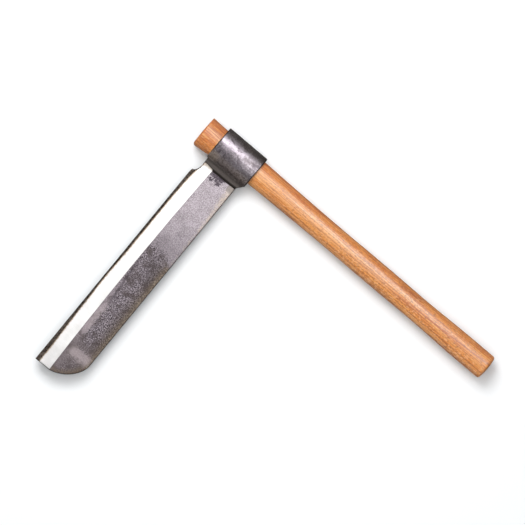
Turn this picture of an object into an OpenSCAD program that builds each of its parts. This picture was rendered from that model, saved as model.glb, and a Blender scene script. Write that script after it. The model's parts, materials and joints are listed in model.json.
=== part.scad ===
// Froe for riving wood: a straight blade with an eye at its end and a wooden
// handle that is driven through the eye and wedges there by its own taper.
// The tool lies on its side: handle along X, blade along -Y, thickness along Z.

/* [Handle] */
// Length of the grip from the exit of the eye to the end of the butt
grip_l = 367.5; // [300:0.5:450]
// Length of the stub that stands out of the mouth of the eye
stub_l = 23.5; // [16:0.5:40]
// How far the stub swells beyond the mouth of the eye, on each side
stub_swell = 1.8; // [0.5:0.1:4]
// Rounding of the rim of the stub
stub_round = 2.5; // [1:0.5:5]
// Distance from the exit of the eye to the waist
waist_at = 135; // [90:1:150]
// Room around the waist as it passes the exit of the eye, on each side
waist_play = 1.75; // [0.8:0.05:4]
// Room around the belly as it passes the exit of the eye, on each side
belly_play = 1.4; // [0.6:0.05:3]
// Distance from the end of the butt to the narrow of the grasp
grasp_at = 115; // [80:1:140]
// Room around the grasp as it passes the exit of the eye, on each side
grasp_play = 1.8; // [0.8:0.05:4]
// Length of the straight butt, with its rounded end
butt_l = 34; // [20:1:50]
// Room around the butt as it passes the exit of the eye, on each side
butt_play = 0.7; // [0.4:0.05:3]
// Rounding of the rim of the butt
butt_round = 3.5; // [1:0.5:6]
// Rise of the domed end of the butt
butt_dome = 1; // [0.2:0.1:4]

/* [Eye] */
// Length of the eye along the handle
eye_l = 58.8; // [45:0.2:80]
// Width of the bore at its mouth, where the handle is driven in
bore_mouth_d = 38; // [36:0.2:46]
// Width of the bore at its exit, on the side of the grip
bore_exit_d = 33.8; // [28:0.2:35]
// Wall of the eye at the middle of its length
eye_wall = 4.4; // [3.5:0.1:8]
// Bevel of the outer rims of the eye
rim_c = 0.8; // [0.3:0.1:1.5]
// Bevel of the bore at its mouth and at its exit
bore_c = 0.5; // [0.2:0.1:1]

/* [Neck and lips] */
// Length of the lips below the ring of the eye
lip_l = 6.9; // [5:0.1:14]
// Thickness of each lip
lip_t = 3; // [2:0.1:5]
// Hollow between the ring and each lip
fillet_r = 6; // [3:0.5:9]
// How far the neck is set in from the face of the mouth
neck_inset = 1.6; // [1:0.1:4]
// Height of the sloped shoulder between the spine and the exit
shoulder_h = 8.8; // [4:0.1:12]
// Leg of the weld along the blade at the end of each lip
weld_leg = 2; // [1:0.1:4]

/* [Blade] */
// Length of the blade below the welds
blade_l = 312.5; // [200:0.5:400]
// Width of the blade from edge to spine
blade_w = 56.8; // [52:0.2:90]
// Thickness of the blade
blade_t = 8; // [5:0.1:12]
// How far the spine is set in from the exit of the eye
spine_set = 7.2; // [3:0.1:15]
// Lean of the blade towards the handle, in degrees
blade_lean = 0.85; // [0:0.05:3]
// How far the root of the blade is set in from the mouth of the eye
root_inset = 2.6; // [1.6:0.1:8]
// Step from the face of the blade down to its root
root_step = 0.4; // [0.2:0.05:1]
// Bevel of the corners along the spine
spine_c = 0.8; // [0.3:0.1:2]
// Length of the straight flank between the weld and the hollow at the heel
heel_l = 8; // [4:0.5:20]
// Radius of the hollow at the heel of the edge
heel_r = 6.5; // [3:0.5:12]
// Straight part of the end of the blade, next to the edge
nose_flat = 19.5; // [8:0.5:30]
// Length of the curve from the end of the blade to the spine
nose_l = 34; // [15:0.5:60]
// Fullness of that curve, 2 is an ellipse
nose_full = 1.75; // [1.5:0.05:2.5]

/* [Edge] */
// Width of the whole bevel, with the honed strip
bevel_w = 20.4; // [12:0.2:30]
// Width of the honed strip along the edge
strip_w = 3.4; // [1.5:0.1:6]
// Thickness of the blade where the honed strip starts
strip_t = 3.2; // [1.5:0.1:4]
// Thickness of the blunt edge
edge_t = 0.6; // [0.2:0.1:1.2]

/* [Fits] */
// Gap between the seat of the handle and the bore, on each side
seat_clearance = 0.1; // [0.05:0.01:0.3]
// Gap between the root of the blade and the slot of the neck, on each side
root_clearance = 0.1; // [0.05:0.01:0.3]
// Ridge on the handle where the exit of the eye bites into the wood
seat_ridge = 0.2; // [0.1:0.05:0.5]
// How far that ridge shows outside the exit
seat_reveal = 0.8; // [0.4:0.1:3]

/* [Hidden] */
$fn = 96;

exit_r = bore_exit_d / 2;
mouth_r = bore_mouth_d / 2;
taper = atan((mouth_r - exit_r) / eye_l);
ring_r = (mouth_r + exit_r) / 2 + eye_wall;
ring_off = (mouth_r - exit_r) / 2;
ring_low = ring_off + ring_r;

// Levels along the blade, measured from the axis of the handle
lip_end = ring_low + lip_l;
shoulder = lip_end + weld_leg;
tip = shoulder + blade_l;
root_w = eye_l - spine_set - root_inset;
root_half = blade_t / 2 - root_step;
flat_w = blade_w - bevel_w;

// Hollow between the ring and the lips: tangent to both
lip_out = root_half + root_clearance + lip_t;
hollow_z = lip_out + fillet_r;
hollow_y = ring_off + sqrt(pow(ring_r + fillet_r, 2) - pow(hollow_z, 2));
touch_y = ring_off + (hollow_y - ring_off) * ring_r / (ring_r + fillet_r);
touch_z = hollow_z * ring_r / (ring_r + fillet_r);

// Seat of the handle in the bore, along the axis of the taper from the exit
seat_r = exit_r - seat_clearance;
seat_end = (eye_l + mouth_r * sin(taper)) / cos(taper) + seat_clearance;
seat_end_r = seat_r + seat_end * tan(taper);
stub_end = (eye_l + stub_l) / cos(taper);
stub_r = seat_end_r + stub_swell;

// Stations of the grip, from the exit of the eye
neck_r = seat_r - seat_ridge;
waist_r = exit_r - waist_play;
belly_r = exit_r - belly_play;
grasp_r = exit_r - grasp_play;
butt_r = exit_r - butt_play;
grasp_x = grip_l - grasp_at;
belly_x = (waist_at + grasp_x) / 2;
butt_x = grip_l - butt_l;
rim_x = grip_l - butt_dome - butt_round;

function ease(a, b, s) = a + (b - a) * (1 - cos(180 * s)) / 2;
function fall(a, b, s) = b + (a - b) * (1 - sin(90 * s));
function along(a, b, s) = a + (b - a) * s;

seat_profile = concat(
    [[0, -4], [seat_r - 4 * tan(taper), -4], [seat_end_r, seat_end]],
    [for (a = [0:15:90]) [
        stub_r - stub_round + stub_round * cos(a),
        stub_end - stub_round + stub_round * sin(a)]],
    [[0, stub_end]]);

grip_profile = concat(
    [[0, -6], [neck_r, -6]],
    [for (s = [0:0.1:0.9]) [fall(neck_r, waist_r, s), along(0, waist_at, s)]],
    [for (s = [0:0.2:0.8]) [ease(waist_r, belly_r, s), along(waist_at, belly_x, s)]],
    [for (s = [0:0.2:0.8]) [ease(belly_r, grasp_r, s), along(belly_x, grasp_x, s)]],
    [for (s = [0:0.125:1]) [ease(grasp_r, butt_r, s), along(grasp_x, butt_x, s)]],
    [for (a = [0:15:90]) [
        butt_r - butt_round + butt_round * cos(a),
        rim_x + butt_round * sin(a)]],
    [for (s = [0.75:-0.25:0]) [
        (butt_r - butt_round) * s,
        grip_l - butt_dome * s * s]]);

// Box of the tool as it lies, and its shift to the middle of the resting plane
stub_reach = (stub_end - stub_round) * cos(taper) + (stub_r - stub_round) * sin(taper) + stub_round;
box_x0 = min(eye_l - stub_reach, eye_l - spine_set - blade_w);
box_x1 = eye_l + grip_l;
box_y0 = -tip * cos(blade_lean) - blade_w * sin(blade_lean);
box_y1 = ring_r - ring_off;

module lying() {
    translate([-(box_x0 + box_x1) / 2, -(box_y0 + box_y1) / 2, ring_r]) children();
}

// Frame of the blade: the spine on the Y axis, the edge towards -X
module along_blade() {
    translate([eye_l - spine_set, 0, 0]) rotate([0, 0, blade_lean]) children();
}

// Frame of the tapered bore: Z from the exit to the mouth
module along_taper() {
    translate([eye_l, 0, 0]) rotate([0, 0, taper]) rotate([0, -90, 0]) children();
}

// Root of the blade, or with a gap the slot that takes it
module root_block(gap, left) {
    translate([-root_w - left, -shoulder, -root_half - gap])
        cube([root_w + left + gap, shoulder - ring_low + gap, 2 * (root_half + gap)]);
}

module blade_section() {
    polygon([
        [-blade_w, -edge_t / 2],
        [-blade_w + strip_w, -strip_t / 2],
        [-flat_w, -blade_t / 2],
        [-spine_c, -blade_t / 2],
        [0, -blade_t / 2 + spine_c],
        [0, blade_t / 2 - spine_c],
        [-spine_c, blade_t / 2],
        [-flat_w, blade_t / 2],
        [-blade_w + strip_w, strip_t / 2],
        [-blade_w, edge_t / 2]]);
}

module blade_plan() {
    nose_w = blade_w - nose_flat;
    difference() {
        polygon(concat(
            [[0, -shoulder], [-blade_w, -shoulder], [-blade_w, -tip]],
            [for (a = [90:-9:0]) [
                -nose_w + nose_w * pow(cos(a), 2 / nose_full),
                -tip + nose_l - nose_l * pow(sin(a), 2 / nose_full)]]));
        translate([-root_w - blade_w, -shoulder - heel_l]) square([blade_w, heel_l + 5]);
        translate([-root_w - heel_r - blade_w, -shoulder - heel_l - heel_r])
            square([blade_w, heel_l + heel_r + 5]);
        translate([-root_w - heel_r, -shoulder - heel_l]) circle(r = heel_r);
    }
}

module blade() {
    color("#8f888e") lying() along_blade() union() {
        intersection() {
            translate([0, -shoulder, 0]) rotate([90, 0, 0])
                linear_extrude(blade_l + 5) blade_section();
            translate([0, 0, -blade_t]) linear_extrude(2 * blade_t) blade_plan();
        }
        root_block(0, 0);
    }
}

// Neck from the ring down to the lips, X downwards and Y across
module neck_section() {
    difference() {
        polygon([
            [ring_off, 0], [touch_y, touch_z], [hollow_y, hollow_z], [hollow_y, lip_out],
            [lip_end + 5, lip_out], [lip_end + 5, -lip_out],
            [hollow_y, -lip_out], [hollow_y, -hollow_z], [touch_y, -touch_z]]);
        translate([hollow_y, hollow_z]) circle(r = fillet_r);
        translate([hollow_y, -hollow_z]) circle(r = fillet_r);
    }
}

module neck_plan() {
    polygon([
        [-blade_w - eye_l, ring_r], [-blade_w - eye_l, -lip_end], [0, -lip_end],
        [3 * spine_set, -lip_end + 3 * shoulder_h], [3 * spine_set, ring_r]]);
}

module ring() {
    translate([0, -ring_off, 0]) rotate([0, 90, 0]) rotate_extrude() polygon([
        [0, 0], [ring_r - rim_c, 0], [ring_r, rim_c],
        [ring_r, eye_l - rim_c], [ring_r - rim_c, eye_l], [0, eye_l]]);
}

module bore() {
    far = eye_l / cos(taper);
    far_r = exit_r + far * tan(taper);
    along_taper() rotate_extrude() polygon([
        [0, -5], [exit_r + 5 * bore_c, -5], [exit_r + bore_c, -bore_c / 2],
        [exit_r + bore_c * tan(taper), bore_c], [far_r - bore_c * tan(taper), far - bore_c],
        [far_r + bore_c, far + bore_c / 2], [far_r + 5 * bore_c, far + 5], [0, far + 5]]);
}

module eye_socket() {
    color("#5d5658") lying() difference() {
        union() {
            ring();
            intersection() {
                translate([neck_inset, 0, 0]) rotate([-90, 0, 0]) rotate([0, 90, 0])
                    linear_extrude(eye_l - neck_inset - rim_c) neck_section();
                along_blade() translate([0, 0, -ring_r]) linear_extrude(2 * ring_r) neck_plan();
            }
        }
        bore();
        along_blade() root_block(root_clearance, eye_l);
    }
}

// Weld in the corner between the end of a lip and the root, flush with the blade
module weld() {
    translate([-flat_w, 0, 0]) rotate([0, 90, 0]) linear_extrude(flat_w - spine_c) polygon([
        [-root_half, -lip_end], [-root_half, -shoulder],
        [-root_half - root_step, -shoulder], [-lip_out, -lip_end]]);
}

module lip_welds() {
    color("#3f393a") lying() along_blade() {
        weld();
        mirror([0, 0, 1]) weld();
    }
}

module handle() {
    color("#c88c58") lying() union() {
        difference() {
            along_taper() rotate_extrude() polygon(seat_profile);
            translate([eye_l + seat_reveal, -2 * mouth_r, -2 * mouth_r]) cube(4 * mouth_r);
        }
        translate([eye_l, 0, 0]) rotate([0, 90, 0]) rotate_extrude() polygon(grip_profile);
    }
}

blade();
eye_socket();
lip_welds();
handle();
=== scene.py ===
import json
import math

import bmesh
import bpy
from mathutils import Matrix, Vector, noise


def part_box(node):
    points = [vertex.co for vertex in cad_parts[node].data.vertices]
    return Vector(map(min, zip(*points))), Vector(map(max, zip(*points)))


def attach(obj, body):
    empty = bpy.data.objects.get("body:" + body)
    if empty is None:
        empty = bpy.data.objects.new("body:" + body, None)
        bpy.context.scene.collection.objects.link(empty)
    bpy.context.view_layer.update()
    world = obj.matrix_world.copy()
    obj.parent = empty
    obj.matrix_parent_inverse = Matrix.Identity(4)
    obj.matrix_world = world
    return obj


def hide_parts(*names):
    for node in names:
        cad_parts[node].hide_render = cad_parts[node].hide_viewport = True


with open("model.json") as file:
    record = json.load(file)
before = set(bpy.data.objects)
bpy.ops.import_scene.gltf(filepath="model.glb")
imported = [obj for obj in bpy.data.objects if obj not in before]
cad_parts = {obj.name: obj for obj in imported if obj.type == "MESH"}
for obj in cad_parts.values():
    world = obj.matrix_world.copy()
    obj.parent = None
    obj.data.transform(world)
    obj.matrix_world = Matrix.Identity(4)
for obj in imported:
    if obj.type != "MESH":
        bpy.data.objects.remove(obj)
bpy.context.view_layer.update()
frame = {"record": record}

# Places taken from the frame, in metres
MM = 0.001
eye_lo, eye_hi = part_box("eye_socket")
handle_lo, handle_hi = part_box("handle")
butt_clip = next(m for m in frame["record"]["mounts"] if m["name"] == "butt_clip")
AXIS = Vector((eye_lo.x, butt_clip["pos_m"][1], butt_clip["pos_m"][2]))
EYE_L = eye_hi.x - eye_lo.x
RING_R = (eye_hi.z - eye_lo.z) / 2
STUB_END = handle_lo.x - AXIS.x
BUTT_END = handle_hi.x - AXIS.x
BUTT_R = butt_clip["dims"]["r_mm"] * MM

# Sizes of the eye and of the handle that is wedged in it
MOUTH_R = 0.0190
EXIT_R = 0.0169
SEAT_GAP = 0.0001
TAPER = (MOUTH_R - EXIT_R) / EYE_L
RING_DROP = (MOUTH_R - EXIT_R) / 2
STUB_SWELL = 0.0018
STUB_TOP = STUB_END + 0.0006
STUB_FACE = STUB_TOP + 0.0004
WAIST_X, WAIST_R = EYE_L + 0.135, 0.01515
BELLY_X, BELLY_R = EYE_L + 0.1938, 0.0155
GRASP_X, GRASP_R = EYE_L + 0.2525, 0.0151
BUTT_X = BUTT_END - 0.034

# Sizes of the neck, the lips and the blade, measured down from the axis of the handle
RING_LOW = RING_DROP + RING_R
LIP_END = RING_LOW + 0.0069
SHOULDER = LIP_END + 0.0020
TIP = SHOULDER + 0.3119
LIP_OUT = 0.0067
HOLLOW_R = 0.0060
NECK_INSET = 0.0016
SPINE_SET = 0.0072
SHOULDER_RISE = 0.0088
SHOULDER_SLOPE = SHOULDER_RISE / SPINE_SET
BLADE_W = 0.0568
BLADE_HALF = 0.0040
ROOT_HALF = 0.0036
ROOT_W = 0.0496
LEAN = math.radians(0.85)
GRIND_RUN = 0.0008
GROUND_START = LIP_END - 0.0015
HEEL_S, HEEL_R, HEEL_L = SHOULDER + 0.0015, 0.0063, 0.0114
NOSE_FLAT, NOSE_L, NOSE_FULL = 0.0195, 0.034, 1.70
BEVEL_W, STRIP_W, STRIP_HALF, EDGE_HALF = 0.0204, 0.0034, 0.0016, 0.0003
SPINE_EASE = 0.0011

BLADE_FRAME = (
    Matrix.Translation(AXIS + Vector((EYE_L - SPINE_SET, 0, 0)))
    @ Matrix.Rotation(LEAN, 4, "Z")
)

# Degrees from which an edge is sharp, and distances that count as none
SHARP, BLADE_SHARP = 40, 28
SAME_POINT, TINY = 1e-7, 1e-6


def mix(a, b, s):
    return a + (b - a) * s


def clamp(x):
    return min(1.0, max(0.0, x))


def smooth(x):
    x = clamp(x)
    return x * x * (3 - 2 * x)


def ease(a, b, s):
    return mix(a, b, (1 - math.cos(math.pi * s)) / 2)


def spread(a, b, count):
    """count + 1 places from a to b, evenly spread."""
    return [mix(a, b, i / count) for i in range(count + 1)]


def wobble(point, size, seed):
    """Smooth noise from -1 to 1 whose bumps are about size across, read at a place set by seed."""
    return noise.noise(Vector(point) / size + Vector((seed, 3.1 * seed, -1.7 * seed)))


def make_piece(name, verts, faces, zones=None, sharp=SHARP, attributes=None):
    """A closed mesh piece, smooth apart from its corners and the lines between its zones."""
    mesh = bpy.data.meshes.new(name)
    mesh.from_pydata([tuple(v) for v in verts], [], faces)
    for key, values in (attributes or {}).items():
        layer = mesh.attributes.new(key, "FLOAT", "POINT")
        layer.data.foreach_set("value", values)
    if zones:
        mesh.polygons.foreach_set("material_index", zones)
    bm = bmesh.new()
    bm.from_mesh(mesh)
    bmesh.ops.remove_doubles(bm, verts=bm.verts, dist=SAME_POINT)
    bmesh.ops.recalc_face_normals(bm, faces=bm.faces)
    if bm.calc_volume(signed=True) < 0:
        bmesh.ops.reverse_faces(bm, faces=bm.faces)
    mark_corners(bm, sharp)
    bm.to_mesh(mesh)
    bm.free()
    piece = bpy.data.objects.new(name, mesh)
    bpy.context.scene.collection.objects.link(piece)
    return piece


def mark_corners(bm, sharp):
    for face in bm.faces:
        face.smooth = True
    for edge in bm.edges:
        if len(edge.link_faces) == 2:
            one, other = edge.link_faces
            bends = edge.calc_face_angle(0.0) > math.radians(sharp)
            edge.smooth = not bends and one.material_index == other.material_index


def strip_faces(first, second, closed=True):
    """Quads between two rows of vertex numbers."""
    last = len(first) if closed else len(first) - 1
    count = len(first)
    return [
        (first[i], first[(i + 1) % count], second[(i + 1) % count], second[i])
        for i in range(last)
    ]


# Handle
HANDLE_SIDES = 96
STUB_ROUND_TOP, STUB_ROUND_LOW = 0.0012, 0.0044
STUB_ROUND_L = 0.0046
BUTT_ROUND, BUTT_DOME = 0.0036, 0.0010


def handle_size(x):
    """Drop of the centre below the axis, and radius, x metres from the mouth of the eye."""
    drop = TAPER * (EYE_L - x)
    if x <= 0:
        return drop, EXIT_R - SEAT_GAP + TAPER * EYE_L + STUB_SWELL * x / STUB_END
    if x <= EYE_L:
        return drop, EXIT_R - SEAT_GAP + drop
    if x <= WAIST_X:
        s = (x - EYE_L) / (WAIST_X - EYE_L)
        return 0.0, mix(WAIST_R, EXIT_R - 2 * SEAT_GAP, 1 - math.sin(math.pi / 2 * s))
    if x <= BELLY_X:
        return 0.0, ease(WAIST_R, BELLY_R, (x - WAIST_X) / (BELLY_X - WAIST_X))
    if x <= GRASP_X:
        return 0.0, ease(BELLY_R, GRASP_R, (x - BELLY_X) / (GRASP_X - BELLY_X))
    return 0.0, ease(GRASP_R, BUTT_R, clamp((x - GRASP_X) / (BUTT_X - GRASP_X)))


def stub_cut(x, turn):
    """How far the rounding of the stub's end lies inside its side, more towards the blade."""
    rounding = mix(STUB_ROUND_TOP, STUB_ROUND_LOW, (1 - math.cos(turn)) / 2)
    near = min(rounding, max(0.0, x - STUB_FACE))
    return rounding - math.sqrt(rounding ** 2 - (rounding - near) ** 2)


def handle_lengths():
    """Places along the side of the handle, close together at the rounding of the stub."""
    round_steps, stub_steps, seat_steps, grip_steps = 14, 10, 16, 180
    side_start = STUB_FACE + STUB_ROUND_L + 0.0010
    seat_start, grip_start, grip_end = 0.003, EYE_L + 0.002, BUTT_END - 0.006
    lengths = [STUB_FACE + STUB_ROUND_L * part ** 2 for part in spread(0, 1, round_steps)]
    lengths += spread(side_start, 0, stub_steps)
    lengths += spread(seat_start, EYE_L, seat_steps)
    return lengths + spread(grip_start, grip_end, grip_steps)


def handle_rings():
    """(x, drop, radius, share) of each ring, from the middle of the stub's end to that of the butt."""
    face_parts = (0.12, 0.3, 0.5, 0.7, 0.88)
    butt_steps = 8
    rings = []
    for part in face_parts:
        x = mix(STUB_TOP, STUB_FACE, part * part)
        rings.append((x, *handle_size(STUB_FACE), part))
    rings += [(x, *handle_size(x), 1.0) for x in handle_lengths()]
    for turn in spread(0, math.pi / 2, butt_steps):
        rings.append((
            BUTT_END - BUTT_DOME - BUTT_ROUND * (1 - math.sin(turn)),
            0.0,
            BUTT_R - BUTT_ROUND * (1 - math.cos(turn)),
            1.0))
    for part in reversed(face_parts):
        rings.append((BUTT_END - BUTT_DOME * part * part, 0.0, BUTT_R - BUTT_ROUND, part))
    return rings


def hand_wear(x, radius, turn):
    """Small unevenness of the wood, none where it sits in the eye."""
    seat_lo, seat_hi = -0.002, EYE_L + 0.001
    depth, size, seed, drawn_out = 0.00014, 0.012, 2.0, 3
    if seat_lo < x < seat_hi:
        return 0.0
    spot = (x / drawn_out, radius * math.cos(turn), radius * math.sin(turn))
    return depth * wobble(spot, size, seed)


def make_handle():
    verts, rows = [], []
    for x, drop, radius, share in handle_rings():
        row = []
        for k in range(HANDLE_SIDES):
            turn = 2 * math.pi * k / HANDLE_SIDES
            reach = (radius - stub_cut(x, turn) + hand_wear(x, radius, turn)) * share
            row.append(len(verts))
            verts.append(AXIS + Vector((x, reach * math.cos(turn) - drop, reach * math.sin(turn))))
        rows.append(row)
    faces = []
    for first, second in zip(rows, rows[1:]):
        faces += strip_faces(first, second)
    faces.append(tuple(rows[0]))
    faces.append(tuple(rows[-1]))
    return make_piece("handle_turned", verts, faces)


# Blade
STRIP_STEPS, BEVEL_STEPS, FLAT_STEPS = 3, 11, 26


def strip_width(s):
    """Width of the honed strip, s metres down from the axis of the handle."""
    usual, pinch, tip_gain, heel_gain = 0.0030, 0.0009, 0.0022, 0.0045
    pinch_at, pinch_reach, tip_from, tip_reach, heel_fade = 0.575, 0.13, 0.70, 0.25, 18
    uneven, size, seed = 0.00020, 0.014, 5.0
    part = clamp((s - HEEL_S) / (TIP - HEEL_S))
    narrow = pinch * smooth(1 - abs(part - pinch_at) / pinch_reach)
    wide = tip_gain * smooth((part - tip_from) / tip_reach) + heel_gain * (1 - part) ** heel_fade
    return usual - narrow + wide + uneven * wobble((s, 0, 0), size, seed)


def bevel_width(s):
    """Width of the whole bevel, wider at both ends of the blade."""
    usual, end_gain = 0.0190, 0.0022
    uneven, size, seed = 0.00018, 0.022, 9.0
    part = clamp((s - HEEL_S) / (TIP - HEEL_S))
    return usual + end_gain * (2 * part - 1) ** 2 + uneven * wobble((s, 0, 0), size, seed)


def heel_gap(s):
    """How far the outline lies inside the line of the edge."""
    rounding = 0.0062
    ledge = BLADE_W - ROOT_W - HEEL_R
    past = (s - HEEL_S) / HEEL_L
    if past <= 1:
        return ledge + HEEL_R * math.sqrt(1 - max(0.0, past) ** 2)
    return ledge * (1 - clamp((s - HEEL_S - HEEL_L) / rounding)) ** 2


def heel_distance(u, s):
    """Rough distance in from the flank and the hollow of the heel."""
    ledge = BLADE_W - ROOT_W - HEEL_R
    across = max(0.0, (u + BLADE_W - ledge) / HEEL_R)
    past = max(0.0, (s - HEEL_S) / HEEL_L)
    reach = math.hypot(across, past)
    slope = math.hypot(across / HEEL_R, past / HEEL_L) / max(reach, TINY)
    return (reach - 1) / max(slope, 1 / HEEL_L)


def heel_chamfer(s):
    """Width of the corner that is broken along the heel, next to nothing at the lips."""
    least, most = 0.0003, 0.0011
    return mix(least, most, smooth((s - SHOULDER) / (HEEL_S + HEEL_L - SHOULDER)))


def spine_line(s):
    """Place of the outline on the side of the spine, 0 along the straight of it."""
    nose_w = BLADE_W - NOSE_FLAT
    past = clamp((s - TIP + NOSE_L) / NOSE_L)
    return nose_w * ((1 - past ** NOSE_FULL) ** (1 / NOSE_FULL) - 1)


def outline_distance(u, s):
    """Rough distance in from the spine, the nose or the end of the blade."""
    nose_w = BLADE_W - NOSE_FLAT
    across = max(0.0, (u + nose_w) / nose_w)
    past = max(0.0, (s - TIP + NOSE_L) / NOSE_L)
    if past <= 0:
        return -u
    fill = across ** NOSE_FULL + past ** NOSE_FULL
    slope = math.hypot(
        NOSE_FULL * across ** (NOSE_FULL - 1) / nose_w,
        NOSE_FULL * past ** (NOSE_FULL - 1) / NOSE_L)
    return max(0.0, (1 - fill) / slope)


def bevel_height(d, s):
    """Half the thickness d metres from the edge, with the bevel ground in."""
    strip, bevel = strip_width(s), bevel_width(s)
    slope = (BLADE_HALF - STRIP_HALF) / (BEVEL_W - STRIP_W)
    inner = STRIP_HALF + slope * (strip - STRIP_W)
    if d <= strip:
        return mix(EDGE_HALF, inner, d / strip)
    return mix(inner, BLADE_HALF, clamp((d - strip) / (bevel - strip)))


def dressed_share(u, s):
    """1 on the facet that was filed beside the spine under the lips, 0 off it."""
    width, side_fade = 0.0100, 0.0020
    length, slant, end_fade = 0.0105, 0.12, 0.0025
    return smooth((u + width) / side_fade) * smooth((SHOULDER + length + slant * u - s) / end_fade)


def hammer_marks(u, s, side):
    """Dents of the hammer under the shoulder, shallow on the bevel, and the filed facet."""
    broad_size, broad_seed, small_size, small_seed, small_share = 0.021, 1.0, 0.009, 4.0, 0.6
    bevel_depth, flat_depth, fade, filed_depth = 0.00003, 0.00011, 0.003, 0.0003
    if s <= SHOULDER:
        return 0.0
    flat = clamp((u + BLADE_W - bevel_width(s)) / fade)
    dents = wobble((u, s, side), broad_size, broad_seed)
    dents += small_share * wobble((u, s, side), small_size, small_seed)
    return mix(bevel_depth, flat_depth, flat) * dents - filed_depth * dressed_share(u, s)


def blade_height(u, s, side):
    """Half the thickness of the blade on one side, with hammer marks and eased corners."""
    on_bevel = s > LIP_END and u + BLADE_W <= bevel_width(s)
    root = BLADE_HALF if s > SHOULDER or on_bevel else ROOT_HALF
    ground = smooth((s - GROUND_START) / GRIND_RUN)
    height = min(root, mix(root, bevel_height(u + BLADE_W, s), ground))
    height += hammer_marks(u, s, side)
    if s > LIP_END:
        chamfer = max(0.0, heel_chamfer(s) - heel_distance(u, s))
        height = max(min(height, EDGE_HALF), height - chamfer)
    rim = min(SPINE_EASE, outline_distance(u, s) if s > TIP - NOSE_L else -u)
    return height - SPINE_EASE + math.sqrt(max(0.0, SPINE_EASE ** 2 - (SPINE_EASE - rim) ** 2))


def blade_rows():
    """Stations down the blade, close where the outline turns."""
    root_row = 0.0270
    under_lips, under_shoulder = (0.0, 0.0008, 0.0014), (0.0, 0.0003, 0.0009)
    past_heel, straight_start = (0.0004, 0.0008, 0.0013), HEEL_S + HEEL_L + 0.0020
    grind_steps, heel_steps, straight_steps, nose_steps = 2, 14, 150, 29
    heel_from, nose_from, square = 6, 3, 90
    rows = [RING_LOW, root_row] + spread(GROUND_START, GROUND_START + GRIND_RUN, grind_steps)
    rows += [LIP_END + step for step in under_lips]
    rows += [SHOULDER + step for step in under_shoulder] + [HEEL_S]
    for angle in spread(heel_from, square, heel_steps):
        rows.append(HEEL_S + HEEL_L * math.sin(math.radians(angle)))
    rows += [HEEL_S + HEEL_L + step for step in past_heel]
    rows += spread(straight_start, TIP - NOSE_L, straight_steps)
    for angle in spread(nose_from, square, nose_steps):
        rows.append(TIP - NOSE_L * (1 - math.sin(math.radians(angle)) ** (2 / NOSE_FULL)))
    return rows


def blade_columns(s):
    """Places across the blade from the edge to the spine, in steps for the strip, bevel and flat."""
    eased = (SPINE_EASE, 0.0007, 0.0004, 0.00015, 0.0)
    least_flat, least_bevel = 0.0005, 0.002
    left = heel_gap(s) - BLADE_W
    right = spine_line(s)
    inner = right - SPINE_EASE
    line = min(bevel_width(s) - BLADE_W, inner - least_flat)
    hone = min(max(strip_width(s) - BLADE_W, left + heel_chamfer(s)), line - least_bevel)
    columns = spread(left, hone, STRIP_STEPS)[:-1]
    columns += spread(hone, line, BEVEL_STEPS)[:-1]
    columns += spread(line, inner, FLAT_STEPS)[:-1]
    return columns + [right - step for step in eased]


def blade_marks(u, s):
    """What the materials need to know of a place on the blade, in metres and shares."""
    return {
        "along": s - SHOULDER,
        "rim": min(outline_distance(u, s), TIP - s),
        "inward": -u,
        "beside": u + BLADE_W - bevel_width(s),
        "hone": u + BLADE_W - strip_width(s),
        "heel": heel_distance(u, s) - heel_chamfer(s),
        "dressed": dressed_share(u, s),
    }


def make_blade():
    flat, ground, honed = 0, 1, 2
    rows = blade_rows()
    verts, marks = [], {}
    grids = {1: [], -1: []}
    for side, grid in grids.items():
        for s in rows:
            row = []
            for u in blade_columns(s):
                row.append(len(verts))
                verts.append(BLADE_FRAME @ Vector((u, -s, side * blade_height(u, s, side))))
                for key, value in blade_marks(u, s).items():
                    marks.setdefault(key, []).append(value)
            grid.append(row)
    faces, zones = [], []
    for grid in grids.values():
        for first, second, s in zip(grid, grid[1:], rows):
            quads = strip_faces(first, second, closed=False)
            faces += quads
            for k in range(len(quads)):
                if s < GROUND_START or k >= STRIP_STEPS + BEVEL_STEPS:
                    zones.append(flat)
                else:
                    zones.append(honed if k < STRIP_STEPS else ground)
    top, low = grids[1], grids[-1]
    walls = [
        ([row[0] for row in top], [row[0] for row in low], honed),
        ([row[-1] for row in top], [row[-1] for row in low], flat),
        (top[0], low[0], flat),
        (top[-1], low[-1], flat),
    ]
    for first, second, zone in walls:
        quads = strip_faces(first, second, closed=False)
        faces += quads
        zones += [zone] * len(quads)
    return make_piece("blade_forged", verts, faces, zones, BLADE_SHARP, marks)


# Eye
RING_STEPS = 48


def lip_line(x):
    """How far down the neck reaches at a place along the eye."""
    slope_start, mouth_rise, mouth_end, mouth_reach = 0.0004, 0.0011, 0.013, 0.011
    spine = EYE_L - SPINE_SET
    end = LIP_END + (spine - x) * math.sin(LEAN)
    end -= max(0.0, x - spine - slope_start) * SHOULDER_SLOPE
    return end - mouth_rise * smooth((mouth_end - x) / mouth_reach)


def arc(radius, start, end, steps):
    """Points of an arc about its centre, along and across the direction that angles start from."""
    return [(radius * math.cos(turn), radius * math.sin(turn)) for turn in spread(start, end, steps)]


def hollow_start():
    """Angle at which the ring runs into the hollow above a lip."""
    return math.asin((LIP_OUT + HOLLOW_R) / (RING_R + HOLLOW_R))


def ring_section(count_neck):
    """Half of the plain ring in section, (down, out) from its centre, top first."""
    touch = hollow_start()
    return arc(RING_R, math.pi, touch, RING_STEPS) + arc(RING_R, touch, 0, count_neck)[1:]


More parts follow.
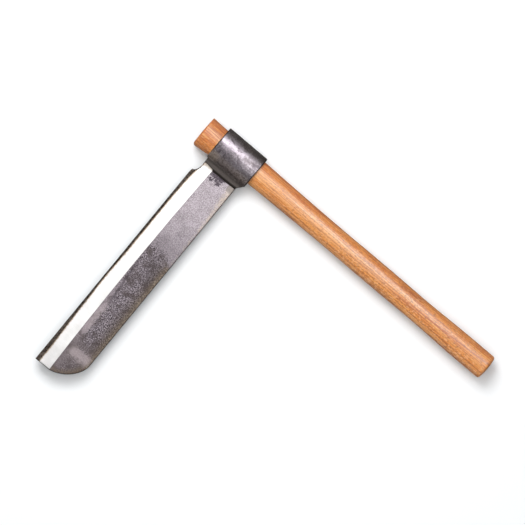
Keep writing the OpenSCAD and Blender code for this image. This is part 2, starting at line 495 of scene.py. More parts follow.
def neck_section(lip_down):
    """The same half section with the hollow and the lip that the ring runs into."""
    lip_round = 0.0006
    hollow_steps, side_steps, round_steps, end_steps = 12, 5, 5, 6
    touch = hollow_start()
    hollow_out = LIP_OUT + HOLLOW_R
    hollow_down = math.sqrt((RING_R + HOLLOW_R) ** 2 - hollow_out ** 2)
    points = arc(RING_R, math.pi, touch, RING_STEPS)
    for down, out in arc(HOLLOW_R, touch, math.pi / 2, hollow_steps)[1:]:
        points.append((hollow_down - down, hollow_out - out))
    side_end = max(lip_down - lip_round, hollow_down)
    points += [(down, LIP_OUT) for down in spread(hollow_down, side_end, side_steps)[1:]]
    for out, down in arc(lip_round, 0, math.pi / 2, round_steps)[1:]:
        points.append((side_end + down, LIP_OUT - lip_round + out))
    points += [(lip_down, out) for out in spread(LIP_OUT - lip_round, 0, end_steps)[1:]]
    return [(min(down, max(lip_down, ring_reach(out))), out) for down, out in points]


def ring_reach(out):
    """How far down the plain ring reaches at a distance out from its middle plane."""
    return math.sqrt(max(0.0, RING_R ** 2 - out ** 2))


def neck_lean(x, down):
    """How far the neck's square end leans in, more towards the lips."""
    most, run, lean_start, lean_reach = 0.0010, 0.010, 0.0195, 0.0095
    if x < NECK_INSET:
        return 0.0
    near = clamp(1 - (x - NECK_INSET) / run)
    return most * near * clamp((down - lean_start) / lean_reach)


def worn_point(x, down, out):
    """A point of the eye's skin, with rounded rims and hammer marks."""
    rim, dent_fade = 0.0010, 0.004
    broad_depth, broad_size, broad_seed = 0.00022, 0.018, 56.0
    small_depth, small_size, small_seed = 0.00008, 0.006, 7.0
    inset = min(x, EYE_L - x)
    cut = rim - math.sqrt(max(0.0, rim ** 2 - (rim - min(rim, inset)) ** 2))
    spot = (x, down, out)
    dents = broad_depth * wobble(spot, broad_size, broad_seed)
    dents += small_depth * wobble(spot, small_size, small_seed)
    scale = 1 + (dents * smooth(inset / dent_fade) - cut) / max(RING_R, math.hypot(down, out))
    return Vector((x + neck_lean(x, down), -down * scale, out * scale))


def bore_reach(x, turn):
    """Radius of the tapered bore as seen from the centre of the ring, with belled ends."""
    bell = 0.0005
    inset = min(x, EYE_L - x)
    radius = EXIT_R + TAPER * (EYE_L - x) + max(0.0, bell - inset)
    shift = TAPER * (EYE_L - x) - RING_DROP
    across = shift * math.sin(turn)
    return shift * math.cos(turn) + math.sqrt(radius ** 2 - across ** 2)


def eye_stations():
    """(x, share of the neck) along the eye: a bare ring at the mouth, then the neck's square end."""
    ends = (0.0, 0.00012, 0.0003, 0.0006, 0.0010)
    neck_end = ((0.0, 0.0), (0.0, 0.9), (0.0002, 0.97), (0.0006, 1.0))
    inner_start, inner_end, inner_steps = 0.0030, EYE_L - 0.0020, 66
    stations = [(x, 0.0) for x in ends]
    stations += [(NECK_INSET + step, share) for step, share in neck_end]
    stations += [(x, 1.0) for x in spread(inner_start, inner_end, inner_steps)]
    return stations + [(EYE_L - x, 1.0) for x in reversed(ends)]


def whole_loop(half):
    """A closed section from its half on one side of the middle plane."""
    return half + [(down, -out) for down, out in half[-2:0:-1]]


def make_eye():
    centre = AXIS - Vector((0, RING_DROP, 0))
    plain = ring_section(len(neck_section(LIP_END)) - RING_STEPS - 1)
    verts, outer, inner = [], [], []
    for x, share in eye_stations():
        neck = neck_section(lip_line(x) - RING_DROP)
        half = [(mix(a, c, share), mix(b, d, share)) for (a, b), (c, d) in zip(plain, neck)]
        loop = whole_loop(half)
        outer.append(range(len(verts), len(verts) + len(loop)))
        verts += [centre + worn_point(x, down, out) for down, out in loop]
    for x, _ in eye_stations():
        loop = whole_loop(plain)
        inner.append(range(len(verts), len(verts) + len(loop)))
        for down, out in loop:
            turn = math.atan2(out, down)
            reach = bore_reach(x, turn)
            spot = Vector((x, -reach * math.cos(turn), reach * math.sin(turn)))
            verts.append(centre + spot)
    faces = strip_faces(outer[0], inner[0]) + strip_faces(outer[-1], inner[-1])
    for rows in (outer, inner):
        for first, second in zip(rows, rows[1:]):
            faces += strip_faces(first, second)
    piece = make_piece("eye_forged", verts, faces)
    cut_slot(piece)
    return piece


def make_block(name, low, high):
    """A plain block in the frame of the blade."""
    corners = [
        BLADE_FRAME @ Vector((x, y, z))
        for x in (low.x, high.x) for y in (low.y, high.y) for z in (low.z, high.z)
    ]
    sides = [(0, 1, 3, 2), (4, 6, 7, 5), (0, 4, 5, 1), (2, 3, 7, 6), (0, 2, 6, 4), (1, 5, 7, 3)]
    return make_piece(name, corners, sides)


def cut_slot(piece):
    """Cuts the slot for the root of the blade up into the neck."""
    gap, past_lips = 0.0001, 0.004
    low = Vector((-ROOT_W - EYE_L, -SHOULDER - past_lips, -ROOT_HALF - gap))
    high = Vector((gap, -RING_LOW + gap, ROOT_HALF + gap))
    block = make_block("slot_cutter", low, high)
    cut = piece.modifiers.new("slot", "BOOLEAN")
    cut.operation = "DIFFERENCE"
    cut.solver = "EXACT"
    cut.object = block
    bpy.context.view_layer.update()
    shaped = piece.evaluated_get(bpy.context.evaluated_depsgraph_get())
    mesh = bpy.data.meshes.new_from_object(shaped)
    piece.modifiers.clear()
    piece.data = mesh
    bpy.data.objects.remove(block)
    bm = bmesh.new()
    bm.from_mesh(mesh)
    bmesh.ops.dissolve_degenerate(bm, edges=bm.edges, dist=TINY)
    mark_corners(bm, SHARP)
    bm.to_mesh(mesh)
    bm.free()


# Welds
WELD_START = bevel_width(SHOULDER) - BLADE_W + 0.0004
WELD_END = -0.0006
WELD_TOP = LIP_OUT - 0.0003
WELD_STEPS = 90


def weld_profile(u, side):
    """Section of a weld as (down, out), from its root round to the lip."""
    pitch, ripple_depth, crown = 0.0021, 0.00010, 0.00028
    uneven, uneven_size, uneven_seed = 0.00012, 0.005, 8.0
    toe_out, toe_uneven, toe_size, toe_seed = 0.0003, 0.0006, 0.008, 11.0
    end_fade, bite, crown_steps = 0.001, 0.0001, 5
    ripple = ripple_depth * math.sin((u - WELD_START) / pitch * 2 * math.pi)
    ripple += uneven * wobble((u, side, 0), uneven_size, uneven_seed)
    fade = min(1.0, (u - WELD_START) / end_fade, (WELD_END - u) / end_fade)
    toe = SHOULDER + (toe_out + toe_uneven * wobble((u, side, 0), toe_size, toe_seed)) * fade
    profile = [(LIP_END, ROOT_HALF), (SHOULDER, ROOT_HALF), (toe, BLADE_HALF - bite)]
    for part in spread(0, 1, crown_steps)[1:-1]:
        bulge = (crown + ripple) * math.sin(math.pi * part) * fade
        profile.append((mix(toe, LIP_END, part) + bulge, mix(BLADE_HALF, WELD_TOP, part) + bulge))
    profile.append((LIP_END, WELD_TOP))
    return profile


def make_weld(name, side):
    """A rippled bead in the corner between a lip and the root of the blade."""
    verts, rows = [], []
    for u in spread(WELD_START, WELD_END, WELD_STEPS):
        row = []
        for s, z in weld_profile(u, side):
            row.append(len(verts))
            verts.append(BLADE_FRAME @ Vector((u, -s, side * z)))
        rows.append(row)
    faces = [tuple(rows[0]), tuple(rows[-1])]
    for first, second in zip(rows, rows[1:]):
        faces += strip_faces(first, second)
    return make_piece(name, verts, faces)


# Materials
class Shader:
    """A node material, with short calls that add nodes, and the colour as far as it is laid on."""

    def __init__(self, name):
        self.material = bpy.data.materials.new(name)
        self.material.use_nodes = True
        self.surface = self.material.node_tree.nodes["Principled BSDF"]
        self.place = self.add("ShaderNodeTexCoord", "Object")
        self.colour = None

    def add(self, kind, output, inputs=None, **settings):
        """Adds a node with its settings and inputs, and gives one of its outputs."""
        node = self.material.node_tree.nodes.new(kind)
        for key, value in settings.items():
            setattr(node, key, value)
        for key, value in (inputs or {}).items():
            self.feed(node.inputs[key], value)
        return node.outputs[output]

    def feed(self, socket, value):
        if isinstance(value, bpy.types.NodeSocket):
            self.material.node_tree.links.new(value, socket)
        else:
            socket.default_value = value

    def value(self, name):
        return self.add("ShaderNodeAttribute", "Fac", attribute_name=name)

    def from_mouth(self):
        """Distance along the axis from the mouth of the eye, and across it, less towards the blade."""
        places = [self.add("ShaderNodeSeparateXYZ", key, {"Vector": self.place}) for key in "XY"]
        return [self.minus(place, start) for place, start in zip(places, AXIS)]

    def stretch(self, scale, turn=(0, 0, 0), shift=(0, 0, 0)):
        return self.add("ShaderNodeMapping", "Vector", {
            "Vector": self.place, "Scale": scale, "Rotation": turn, "Location": shift})

    def rings(self, scale, bend, place):
        return self.add(
            "ShaderNodeTexWave", "Fac", {"Vector": place, "Scale": scale, "Distortion": bend},
            wave_type="RINGS", rings_direction="X")

    def noise(self, scale, detail, rough=0.55, bend=0.0, place=None):
        return self.add("ShaderNodeTexNoise", "Fac", {
            "Vector": place or self.place, "Scale": scale,
            "Detail": detail, "Roughness": rough, "Distortion": bend})

    def grain(self, along, across, detail, rough, bend=0.0, turn=(0, 0, 0)):
        """Noise drawn out along the handle, with a scale along it and one across it."""
        return self.noise(1.0, detail, rough, bend, self.stretch((along, across, across), turn))

    def rise(self, value, low, high, top=1.0, floor=0.0):
        """Goes smoothly from floor to top while the value goes from low to high."""
        return self.add(
            "ShaderNodeMapRange", "Result",
            {"Value": value, "From Min": low, "From Max": high, "To Min": floor, "To Max": top},
            interpolation_type="SMOOTHSTEP")

    def fall(self, value, low, high, top=1.0, floor=0.0):
        """Goes smoothly from top to floor while the value goes from low to high."""
        return self.rise(value, low, high, top=floor, floor=top)

    def math(self, kind, a, b=0.0):
        return self.add("ShaderNodeMath", "Value", {0: a, 1: b}, operation=kind)

    def plus(self, a, b):
        return self.math("ADD", a, b)

    def minus(self, a, b):
        return self.math("SUBTRACT", a, b)

    def apart(self, a, b):
        return self.math("ABSOLUTE", self.minus(a, b))

    def times(self, product, *factors):
        for factor in factors:
            product = self.math("MULTIPLY", product, factor)
        return product

    def centred(self, value):
        """Noise from -0.5 to 0.5."""
        return self.minus(value, 0.5)

    def blend(self, factor, a, b):
        a, b = [(*tone, 1.0) if isinstance(tone, tuple) else tone for tone in (a, b)]
        return self.add("ShaderNodeMix", 2, {0: factor, 6: a, 7: b}, data_type="RGBA")

    def cover(self, amount, tone):
        """Lays a tone over the colour."""
        self.colour = self.blend(amount, self.colour, tone)

    def bump(self, height, distance, strength):
        return self.add("ShaderNodeBump", "Normal", {
            "Height": height, "Distance": distance, "Strength": strength})

    def finish(self, rough, normal=None, **fixed):
        self.feed(self.surface.inputs["Base Color"], self.colour)
        self.feed(self.surface.inputs["Roughness"], rough)
        if normal is not None:
            self.feed(self.surface.inputs["Normal"], normal)
        for key, value in fixed.items():
            self.surface.inputs[key].default_value = value
        return self.material


# Wood of the handle
STUB_SHARE = 0.6


def wood():
    """Oiled wood with its grain along the handle."""
    pale_width, stub_fade = 0.011, 0.003
    sh = Shader("oiled_wood")
    sh.along, sh.side = sh.from_mouth()
    # The side towards the blade: light is painted in here, and flecks are denser here.
    sh.pale = sh.fall(sh.side, -pale_width, 0.0)
    sh.stub = sh.fall(sh.along, -stub_fade, 0.0, top=STUB_SHARE)
    sh.fibres = sh.grain(along=16, across=540, detail=3.0, rough=0.7)
    sh.streaks = sh.grain(along=30, across=330, detail=3.0, rough=0.6)
    sh.pores = sh.grain(along=310, across=640, detail=2.0, rough=0.5)
    for lay in (wood_bands, wood_front, wood_shade, wood_rings, wood_fibres, wood_lines, wood_specks):
        lay(sh)
    normal = sh.bump(sh.minus(sh.fibres, sh.pores), distance=0.0002, strength=0.5)
    return sh.finish(wood_roughness(sh), normal, **{
        "Specular IOR Level": 0.85, "Specular Tint": (0.30, 0.84, 1.0, 1.0),
        "Coat Weight": 0.14, "Coat Roughness": 0.34})


def wood_bands(sh):
    """Broad bands along the handle, with painted light that makes the side towards the blade paler."""
    brown, amber, pale = (0.57, 0.160, 0.009), (0.69, 0.260, 0.036), (0.75, 0.335, 0.130)
    pale_share = 0.35
    bands = sh.grain(along=2.5, across=75, detail=3.0, rough=0.5, bend=0.3)
    sh.colour = sh.blend(sh.rise(bands, 0.32, 0.68), brown, amber)
    # Painted light: the side towards the blade is made paler.
    sh.cover(sh.times(sh.pale, pale_share), pale)


def wood_front(sh):
    """A pale stripe along the front that is painted sheen, set over on the stub to lie under its
    highlight, and weaker beyond the belly.
    """
    middle, stub_shift, half_width = -0.0030, 0.0142, (0.0010, 0.0045)
    side = sh.minus(sh.side, sh.times(sh.stub, stub_shift))
    stripe = sh.fall(sh.apart(side, middle), *half_width, top=0.35)
    grip = sh.fall(sh.along, BELLY_X, GRASP_X, floor=0.25)
    # Painted sheen: the stripe lightens the wood where the highlight spreads.
    sh.cover(sh.times(stripe, grip), tone=(0.71, 0.39, 0.175))


def wood_shade(sh):
    """Painted shade in dark streaks on the side away from the blade, and a dark stub."""
    start, stub_shift = (0.003, 0.011), 0.0065
    side = sh.minus(sh.side, sh.times(sh.stub, stub_shift))
    streaks = sh.fall(sh.streaks, 0.40, 0.60, floor=0.15)
    # Painted shade: the side away from the blade is darkened, broken up by the streaks.
    sh.cover(sh.times(sh.rise(side, *start, top=0.75), streaks), tone=(0.45, 0.097, 0.003))
    sh.cover(sh.stub, tone=(0.47, 0.106, 0.005))


def wood_rings(sh):
    """Growth rings round a pith that lies outside the handle."""
    pith = AXIS + Vector((0, 0.072, -0.020))
    drawn_out, slant = (0.05, 1, 1), (0, 0, 0.004)
    place = sh.stretch(drawn_out, slant, shift=(0, -pith.y, -pith.z))
    rings = sh.rings(scale=120, bend=5.0, place=place)
    sh.cover(sh.rise(rings, 0.64, 1.0, top=0.6), tone=(0.34, 0.080, 0.015))


def wood_fibres(sh):
    """Fine light and dark lines."""
    sh.cover(sh.rise(sh.fibres, 0.50, 0.64, top=0.6), tone=(0.70, 0.335, 0.084))
    sh.cover(sh.fall(sh.fibres, 0.34, 0.48, top=0.6), tone=(0.31, 0.078, 0.011))


def wood_lines(sh):
    """A slanting dark line towards the butt, and a short dark feather beside it."""
    crossing, slope, sway = 0.320, 0.05, 0.0012
    line_side, line_width, line_start = -0.0008, (0.0004, 0.0013), (0.24, 0.33)
    feather_side, feather_width = 0.0115, (0.0010, 0.0034)
    feather_middle, feather_reach = 0.298, (0.008, 0.026)
    slant = sh.times(sh.minus(sh.along, crossing), slope)
    slant = sh.plus(slant, sh.times(sh.centred(sh.streaks), sway))
    side = sh.minus(sh.side, slant)
    line = sh.fall(sh.apart(side, line_side), *line_width)
    sh.cover(sh.times(line, sh.rise(sh.along, *line_start, top=0.95)), tone=(0.40, 0.098, 0.014))
    feather = sh.fall(sh.apart(side, feather_side), *feather_width)
    near = sh.fall(sh.apart(sh.along, feather_middle), *feather_reach, top=0.80)
    sh.cover(sh.times(feather, near), tone=(0.34, 0.080, 0.008))


def wood_specks(sh):
    """Light flecks and dark pores, calmer near the eye and on the stub."""
    flecks = sh.grain(along=290, across=560, detail=2.0, rough=0.5, turn=(0.3, 0, 0))
    calm = sh.rise(sh.along, EYE_L, WAIST_X, top=0.85, floor=0.45)
    calm = sh.times(calm, sh.fall(sh.stub, 0.0, STUB_SHARE, floor=0.75))
    pale = sh.rise(sh.pale, 0.0, 1.0, floor=0.4)
    sh.cover(sh.times(sh.rise(flecks, 0.52, 0.66, top=0.75), pale, calm), tone=(0.82, 0.48, 0.25))
    sh.cover(sh.times(sh.rise(sh.pores, 0.53, 0.67, top=0.75), calm), tone=(0.24, 0.056, 0.014))


def wood_roughness(sh):
    """Smoother on light fibres, rougher on the stub, behind the eye and towards the butt."""
    stub_gain = 0.05
    rough = sh.fall(sh.fibres, 0.36, 0.62, top=0.50, floor=0.37)
    rough = sh.plus(rough, sh.rise(sh.along, BELLY_X, BUTT_X, top=0.09))
    rough = sh.plus(rough, sh.times(sh.stub, stub_gain))
    return sh.plus(rough, sh.fall(sh.along, EYE_L, BELLY_X, top=0.11))


# Forge scale on the flats of the blade
def blade_scale():
    """Light scale under the eye, and dark scale with light specks below it."""
    cloud_drift, ragged_drift, dark_start, grain_share = 0.05, 0.012, (0.109, 0.127), 0.3
    sh = Shader("forge_scale")
    sh.along, sh.rim = sh.value("along"), sh.value("rim")
    sh.inward, sh.beside = sh.value("inward"), sh.value("beside")
    sh.blots = sh.noise(85, detail=5.0, rough=0.6, bend=0.4)
    sh.speckle = sh.noise(680, detail=3.0, rough=0.75)
    sh.ragged = sh.centred(sh.noise(230, detail=5.0, rough=0.65, bend=0.3))
    clouds = sh.centred(sh.noise(42, detail=4.0, rough=0.6, bend=0.3))
    drift = sh.plus(sh.times(clouds, cloud_drift), sh.times(sh.ragged, ragged_drift))
    sh.drifted = sh.plus(sh.along, drift)
    sh.low = sh.rise(sh.drifted, *dark_start)
    sh.border = sh.plus(sh.beside, sh.times(sh.ragged, ragged_drift))
    for lay in (blade_ground, bevel_band, dark_blots, gloom, bright_band, seam, nose_shade,
                soot, olive_rim, worn_spine, filed_facet, nose_patch, dark_lines):
        lay(sh)
    rough = sh.rise(sh.speckle, 0.3, 0.7, top=0.60, floor=0.40)
    grain = sh.noise(1700, detail=3.0, rough=0.6)
    height = sh.plus(sh.speckle, sh.times(grain, grain_share))
    return sh.finish(rough, sh.bump(height, distance=0.0003, strength=0.3), Metallic=0.85)


def blade_ground(sh):
    """Light scale that gets duller down the blade, then dark scale that is dimmer at the spine."""
    light = (0.200, 0.172, 0.188), (0.390, 0.352, 0.377)
    dull = (0.116, 0.098, 0.110), (0.240, 0.213, 0.231)
    dark = (0.034, 0.027, 0.031), (0.320, 0.279, 0.307)
    dim = (0.028, 0.021, 0.020), (0.215, 0.180, 0.178)
    dull_start, dim_width = (0.045, 0.122), (0.006, 0.019)
    specks = sh.rise(sh.speckle, 0.40, 0.62)
    sh.colour = sh.blend(specks, *light)
    sh.cover(sh.fall(sh.blots, 0.36, 0.50, top=0.2), tone=(0.42, 0.385, 0.41))
    sh.cover(sh.rise(sh.drifted, *dull_start), sh.blend(specks, *dull))
    specks = sh.rise(sh.speckle, 0.42, 0.64)
    by_spine = sh.fall(sh.inward, *dim_width, top=0.9)
    sh.cover(sh.low, sh.blend(by_spine, sh.blend(specks, *dark), sh.blend(specks, *dim)))


def bevel_band(sh):
    """A lighter band beside the bevel, on the lower half."""
    start, width = (0.14, 0.20), (0.005, 0.010)
    band = sh.times(sh.rise(sh.along, *start), sh.fall(sh.border, *width, top=0.5))
    sh.cover(band, tone=(0.24, 0.205, 0.225))


def dark_blots(sh):
    """Dark blots and smaller spots, mostly in the dark scale."""
    share = sh.rise(sh.low, 0.0, 1.0, top=0.80, floor=0.10)
    sh.cover(sh.times(sh.rise(sh.blots, 0.48, 0.64), share), tone=(0.052, 0.040, 0.040))
    spots = sh.rise(sh.noise(150, detail=4.0, rough=0.6, bend=0.8), 0.62, 0.69, top=0.85)
    share = sh.rise(sh.low, 0.0, 1.0, floor=0.3)
    sh.cover(sh.times(spots, share), tone=(0.035, 0.027, 0.034))


def gloom(sh):
    """A darker stretch on the side of the spine, just below the start of the dark scale."""
    middle, reach, width = 0.140, (0.008, 0.028), (0.012, 0.030)
    near = sh.fall(sh.apart(sh.drifted, middle), *reach, top=0.35)
    sh.cover(sh.times(near, sh.fall(sh.inward, *width)), tone=(0.040, 0.032, 0.033))


def bright_band(sh):
    """A bright band beside the bevel, short of the nose."""
    start, end, width = (0.195, 0.217), (0.236, 0.264), (0.0055, 0.0105)
    bright = sh.times(sh.rise(sh.along, *start), sh.fall(sh.along, *end, top=0.55))
    bright = sh.times(bright, sh.fall(sh.border, *width), sh.rise(sh.speckle, 0.35, 0.60, floor=0.55))
    sh.cover(bright, tone=(0.34, 0.29, 0.30))


def seam(sh):
    """A thin dark line that leaves the bevel at a small angle."""
    leaves, slope, half_width = 0.113, 0.082, (0.0006, 0.0022)
    start, end = (0.130, 0.150), (0.195, 0.212)
    line = sh.times(sh.minus(sh.along, leaves), slope)
    line = sh.fall(sh.apart(sh.beside, line), *half_width, top=0.55)
    line = sh.times(line, sh.rise(sh.along, *start), sh.fall(sh.along, *end))
    sh.cover(line, tone=(0.045, 0.036, 0.044))


def nose_shade(sh):
    """An even, browner tone over the nose, with a ragged start."""
    start, uneven = (0.250, 0.264), 0.02
    place = sh.plus(sh.along, sh.times(sh.ragged, uneven))
    sh.cover(sh.rise(place, *start, top=0.55), tone=(0.100, 0.081, 0.080))


def soot(sh):
    """A ragged dark patch under the lips, longest at its middle."""
    middle, half_width, longest, shortest = 0.0268, (0.006, 0.016), 0.0095, -0.004
    uneven, edge = 0.04, 0.002
    end = sh.fall(sh.apart(sh.inward, middle), *half_width, top=longest, floor=shortest)
    end = sh.plus(end, sh.times(sh.ragged, uneven))
    patch = sh.rise(sh.minus(end, sh.along), -edge, edge)
    patch = sh.times(patch, sh.fall(sh.speckle, 0.42, 0.62, floor=0.75))
    sh.cover(patch, tone=(0.036, 0.026, 0.035))


def olive_rim(sh):
    """An olive tinge along the rim of the dark scale."""
    width = (0.001, 0.010)
    olive = sh.times(sh.low, sh.fall(sh.rim, *width, top=0.85), sh.rise(sh.speckle, 0.40, 0.58))
    sh.cover(olive, tone=(0.128, 0.094, 0.060))


def worn_spine(sh):
    """Wear along the spine, wide at the eye and narrow by the start of the dark scale."""
    taper, widest, narrowest = (0.0, 0.11), 0.007, 0.001
    uneven, edge = 0.018, (-0.003, 0.005)
    width = sh.fall(sh.along, *taper, top=widest, floor=narrowest)
    worn = sh.plus(sh.minus(width, sh.inward), sh.times(sh.ragged, uneven))
    worn = sh.times(sh.rise(worn, *edge), sh.rise(sh.speckle, 0.38, 0.58, top=0.7, floor=0.2))
    sh.cover(worn, tone=(0.42, 0.35, 0.27))


def filed_facet(sh):
    sh.cover(sh.rise(sh.value("dressed"), 0.35, 0.75, top=0.75), tone=(0.180, 0.160, 0.147))


def nose_patch(sh):
    """A light patch near the nose that keeps off the rim and the bevel: a painted highlight, as from a
    shallow hollow in the hammered surface.
    """
    middle, reach, uneven = 0.2755, (0.001, 0.0105), 0.014
    off_rim, off_bevel = (0.0, 0.006), (0.0015, 0.009)
    place = sh.plus(sh.along, sh.times(sh.ragged, uneven))
    patch = sh.times(sh.fall(sh.apart(place, middle), *reach, top=0.72), sh.rise(sh.rim, *off_rim))
    patch = sh.times(patch, sh.rise(sh.beside, *off_bevel), sh.rise(sh.speckle, 0.35, 0.60, floor=0.65))
    # Painted highlight.
    sh.cover(patch, tone=(0.34, 0.29, 0.30))


def dark_lines(sh):
    """A thin dark line along the bevel, and a dark line along the rim that is painted shade of the
    blade's edge.
    """
    bevel_line, rim_line = (0.0, 0.0013), (0.0003, 0.0013)
    sh.cover(sh.fall(sh.beside, *bevel_line, top=0.5), tone=(0.090, 0.074, 0.088))
    # Painted shade: the line along the rim stands in for the shaded side of the edge.
    sh.cover(sh.fall(sh.rim, *rim_line, top=0.85), tone=(0.050, 0.040, 0.033))


# Forge scale on the eye
def eye_scale():
    """Hazy grey scale, with painted shade on the side away from the blade and painted light on the side
    towards it.
    """
    seed, speckle_share = 2.55, 0.5
    sh = Shader("eye_scale")
    spot = sh.stretch((1, 1, 1), shift=(0, 0, seed))
    sh.along, sh.side = sh.from_mouth()
    sh.patches = sh.noise(110, detail=6.0, rough=0.66, bend=0.5, place=spot)
    sh.haze = sh.noise(55, detail=4.0, rough=0.6, bend=0.3, place=spot)
    sh.speckle = sh.noise(480, detail=5.0, rough=0.78)
    sh.grains = sh.rise(sh.speckle, 0.40, 0.60)
    for lay in (eye_ground, eye_above, eye_below, eye_front, eye_rims, eye_neck):
        lay(sh)
    rough = sh.fall(sh.haze, 0.35, 0.65, top=0.54, floor=0.42)
    height = sh.plus(sh.patches, sh.times(sh.speckle, speckle_share))
    return sh.finish(rough, sh.bump(height, distance=0.0005, strength=0.35), Metallic=0.9)


def eye_ground(sh):
    """Dark to grey haze with light specks and dark patches."""
    dark, grey = (0.145, 0.124, 0.134), (0.285, 0.253, 0.285)
    sh.colour = sh.blend(sh.rise(sh.haze, 0.35, 0.65), dark, grey)
    sh.cover(sh.rise(sh.speckle, 0.46, 0.66, top=0.5), tone=(0.42, 0.387, 0.412))
    sh.cover(sh.rise(sh.patches, 0.52, 0.60, top=0.8), tone=(0.080, 0.066, 0.074))


def eye_above(sh):
    """Painted shade on the side away from the blade, darkest at the end where the grip starts."""
    start, far_start = (0.009, 0.018), 0.030
    grains = (0.066, 0.051, 0.043), (0.21, 0.172, 0.150)
    above = sh.rise(sh.side, *start, top=0.75)
    # Painted shade.
    sh.cover(above, sh.blend(sh.grains, *grains))
    sh.cover(sh.times(above, sh.rise(sh.along, far_start, EYE_L, top=0.7)), tone=(0.058, 0.044, 0.035))


def eye_below(sh):
    """Painted light on the side towards the blade."""
    end, grains = (-0.018, -0.009), ((0.22, 0.172, 0.152), (0.62, 0.520, 0.470))
    # Painted light.
    sh.cover(sh.fall(sh.side, *end, top=0.65), sh.blend(sh.grains, *grains))


def eye_front(sh):
    """A band along the front: painted shade at the mouth, which narrows the highlight there, and a
    painted highlight at the other end.
    """
    middle, half_width = -0.0025, (0.0025, 0.0070)
    shade_end, shade_grains = (0.016, 0.032), ((0.055, 0.045, 0.052), (0.150, 0.128, 0.145))
    highlight_start, highlight_grains = (0.029, 0.043), ((0.30, 0.265, 0.295), (0.56, 0.51, 0.55))
    band = sh.fall(sh.apart(sh.side, middle), *half_width)
    # Painted shade near the mouth.
    near = sh.times(band, sh.fall(sh.along, *shade_end, top=0.6))
    sh.cover(near, sh.blend(sh.grains, *shade_grains))
    # Painted highlight towards the other end.
    far = sh.times(band, sh.rise(sh.along, *highlight_start, top=0.35))
    sh.cover(far, sh.blend(sh.grains, *highlight_grains))


def eye_rims(sh):
    """Dark rims at both ends: painted shade where the eye meets the handle."""
    middle, inner, outer = EYE_L / 2, 0.0018, 0.0007
    rim = sh.rise(sh.apart(sh.along, middle), middle - inner, middle - outer, top=0.85)
    # Painted shade.
    sh.cover(rim, tone=(0.030, 0.025, 0.023))


def eye_neck(sh):
    """Dark soot on the neck that is also painted shade in the hollow above the lips, and painted light
    over its start at the mouth.
    """
    soot_and_shade_end, soot_and_shade = (-0.026, -0.018), ((0.030, 0.025, 0.023), (0.068, 0.058, 0.053))
    mouth_end, mouth_top, mouth_low = (0.007, 0.017), (-0.018, -0.009), (-0.0245, -0.020)
    grains = (0.42, 0.332, 0.276), (0.72, 0.600, 0.515)
    # Soot, and painted shade in the hollow above the lips.
    sh.cover(sh.fall(sh.side, *soot_and_shade_end), sh.blend(sh.speckle, *soot_and_shade))
    # Painted light at the mouth.
    mouth = sh.times(sh.fall(sh.along, *mouth_end, top=0.9), sh.fall(sh.side, *mouth_top))
    sh.cover(sh.times(mouth, sh.rise(sh.side, *mouth_low)), sh.blend(sh.grains, *grains))


# Bare steel
def ground_steel():
    """The ground bevel, with fine scratches along it, brown borders, painted shade over its upper part
    and a painted dark line along the heel.
    """
    dull, bright, uneven = (0.46, 0.452, 0.448), (0.54, 0.536, 0.532), 0.0028
    upper_fade, border, corner, lips = (0.14, 0.27), (0.0004, 0.0017), (0.0, 0.0006), (-0.0012, 0.0022)
    sh = Shader("ground_bevel")
    along = sh.value("along")
    scratches = sh.noise(1.0, detail=3.0, rough=0.6, place=sh.stretch((60, 1600, 300)))
    ragged = sh.times(sh.centred(sh.noise(330, detail=3.0)), uneven)
    sh.colour = sh.blend(sh.rise(sh.noise(55, detail=3.0, rough=0.5), 0.3, 0.7), dull, bright)
    sh.cover(sh.rise(scratches, 0.56, 0.76, top=0.4), tone=(0.30, 0.27, 0.26))
    # Painted shade: the upper bevel is darkened to even out the light along it.
    sh.cover(sh.fall(along, *upper_fade, top=0.75), tone=(0.395, 0.388, 0.383))
    sh.cover(sh.fall(sh.plus(sh.value("hone"), ragged), *border, top=0.95), tone=(0.22, 0.160, 0.112))
    # Painted shade: a dark line along the broken corner of the heel.
    sh.cover(sh.fall(sh.plus(sh.value("heel"), ragged), *corner), tone=(0.045, 0.034, 0.027))
    sh.cover(sh.fall(sh.plus(along, ragged), *lips, top=0.85), tone=(0.20, 0.165, 0.135))
    rough = sh.rise(scratches, 0.3, 0.7, top=0.40, floor=0.32)
    return sh.finish(rough, sh.bump(scratches, distance=0.00003, strength=0.12), Metallic=1.0)


def honed_steel():
    """The honed strip, dark and mottled."""
    dark, light = (0.036, 0.027, 0.022), (0.108, 0.085, 0.073)
    sh = Shader("honed_strip")
    mottle = sh.noise(320, detail=4.0, rough=0.6)
    sh.colour = sh.blend(sh.rise(mottle, 0.35, 0.65), dark, light)
    rough = sh.rise(mottle, 0.3, 0.7, top=0.46, floor=0.34)
    return sh.finish(rough, sh.bump(mottle, distance=0.00005, strength=0.3), Metallic=1.0)


def weld_steel():
    # Near black, as painted shade in the corner between each lip and the blade.
    dark, light = (0.020, 0.016, 0.014), (0.07, 0.058, 0.052)
    sh = Shader("weld_dark")
    mottle = sh.noise(500, detail=4.0, rough=0.6)
    sh.colour = sh.blend(mottle, dark, light)
    return sh.finish(sh.rise(mottle, 0.3, 0.7, top=0.6, floor=0.4), Metallic=0.8)


def dress(piece, body, node, slot, *materials):
    for material in materials:
        piece.data.materials.append(material)
    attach(piece, body)
    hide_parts(node)


dress(make_handle(), "haft", "handle", "handle_wood", wood())
dress(make_blade(), "head", "blade", "blade_steel", blade_scale(), ground_steel(), honed_steel())
dress(make_eye(), "head", "eye_socket", "eye_steel", eye_scale())
weld_finish = weld_steel()
dress(make_weld("weld_front", 1), "head", "lip_welds", "weld_steel", weld_finish)
dress(make_weld("weld_back", -1), "head", "lip_welds", "weld_steel", weld_finish)


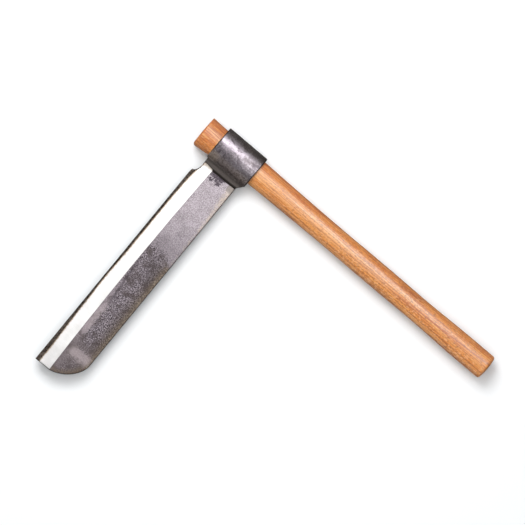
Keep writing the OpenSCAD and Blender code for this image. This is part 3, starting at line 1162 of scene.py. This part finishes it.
# Stage: a plain pale floor, soft studio light and the camera of the photograph
IMAGE_PX = 525
MM_PER_PX = 1.213
VIEW_TURN = math.radians(40.2835)
LENS, SENSOR = 600.0, 36.0
CENTRE_X, CENTRE_Y = 0.13479, -0.07809
KEY_LEAN, CARD_LEAN, FILL_LEAN = (-0.40, 0.36), (0.06, 0.66), (0.0, 0.0)
NEAR, FAR = 1.8, 3.2

across = Vector((math.cos(VIEW_TURN), math.sin(VIEW_TURN), 0))
up = Vector((-math.sin(VIEW_TURN), math.cos(VIEW_TURN), 0))
target = AXIS + Vector((CENTRE_X, CENTRE_Y, 0))


def floor_pale():
    dark, light, rough = (0.775, 0.787, 0.798), (0.795, 0.807, 0.818), 0.9
    sh = Shader("floor_pale")
    sh.colour = sh.blend(sh.noise(3.0, detail=2.0), dark, light)
    return sh.finish(rough, **{"Specular IOR Level": 0.0})


def make_floor():
    mesh = bpy.data.meshes.new("floor")
    half = 6.0
    corners = [(-half, -half, 0), (half, -half, 0), (half, half, 0), (-half, half, 0)]
    mesh.from_pydata(corners, [], [(0, 1, 2, 3)])
    floor = bpy.data.objects.new("floor", mesh)
    bpy.context.scene.collection.objects.link(floor)
    mesh.materials.append(floor_pale())
    floor.visible_glossy = False


def make_softbox(name, lean, distance, size, power, hidden):
    """An area light that faces the tool, leaning off the vertical by the given slopes."""
    light = bpy.data.lights.new(name, "AREA")
    light.shape = "RECTANGLE"
    light.size, light.size_y = size
    light.energy = power
    lamp = bpy.data.objects.new(name, light)
    bpy.context.scene.collection.objects.link(lamp)
    toward = Vector((*lean, 1)).normalized()
    side = Vector((0, 1, 0)).cross(toward).normalized()
    turn = Matrix((side, toward.cross(side), toward)).transposed().to_4x4()
    lamp.matrix_world = Matrix.Translation(target + toward * distance) @ turn
    lamp.visible_camera = False
    lamp.visible_diffuse = hidden != "diffuse"
    lamp.visible_glossy = hidden != "glossy"


def make_camera():
    data = bpy.data.cameras.new("camera")
    data.lens, data.sensor_width = LENS, SENSOR
    camera = bpy.data.objects.new("camera", data)
    bpy.context.scene.collection.objects.link(camera)
    distance = LENS / SENSOR * IMAGE_PX * MM_PER_PX * MM
    turn = Matrix((across, up, Vector((0, 0, 1)))).transposed().to_4x4()
    camera.matrix_world = Matrix.Translation(target + Vector((0, 0, distance))) @ turn
    bpy.context.scene.camera = camera


def make_world():
    """An even studio, dim towards the horizon and below it."""
    dim, bright = 0.13, 0.50
    world = bpy.data.worlds.new("studio")
    world.use_nodes = True
    nodes, links = world.node_tree.nodes, world.node_tree.links
    place = nodes.new("ShaderNodeTexCoord")
    parts = nodes.new("ShaderNodeSeparateXYZ")
    height = nodes.new("ShaderNodeMapRange")
    height.inputs["To Min"].default_value = dim
    height.inputs["To Max"].default_value = bright
    links.new(place.outputs["Generated"], parts.inputs["Vector"])
    links.new(parts.outputs["Z"], height.inputs["Value"])
    links.new(height.outputs["Result"], nodes["Background"].inputs["Strength"])
    nodes["Background"].inputs["Color"].default_value = (1, 1, 1, 1)
    bpy.context.scene.world = world


make_floor()
make_softbox("key", KEY_LEAN, NEAR, size=(0.85, 0.85), power=23, hidden="glossy")
make_softbox("strip", KEY_LEAN, NEAR, size=(0.55, 1.4), power=26, hidden="diffuse")
make_softbox("card", CARD_LEAN, NEAR, size=(1.1, 0.9), power=22, hidden="diffuse")
make_softbox("fill", FILL_LEAN, FAR, size=(2.4, 2.4), power=57, hidden="glossy")
make_world()
make_camera()
bpy.context.scene.view_settings.view_transform = "Standard"
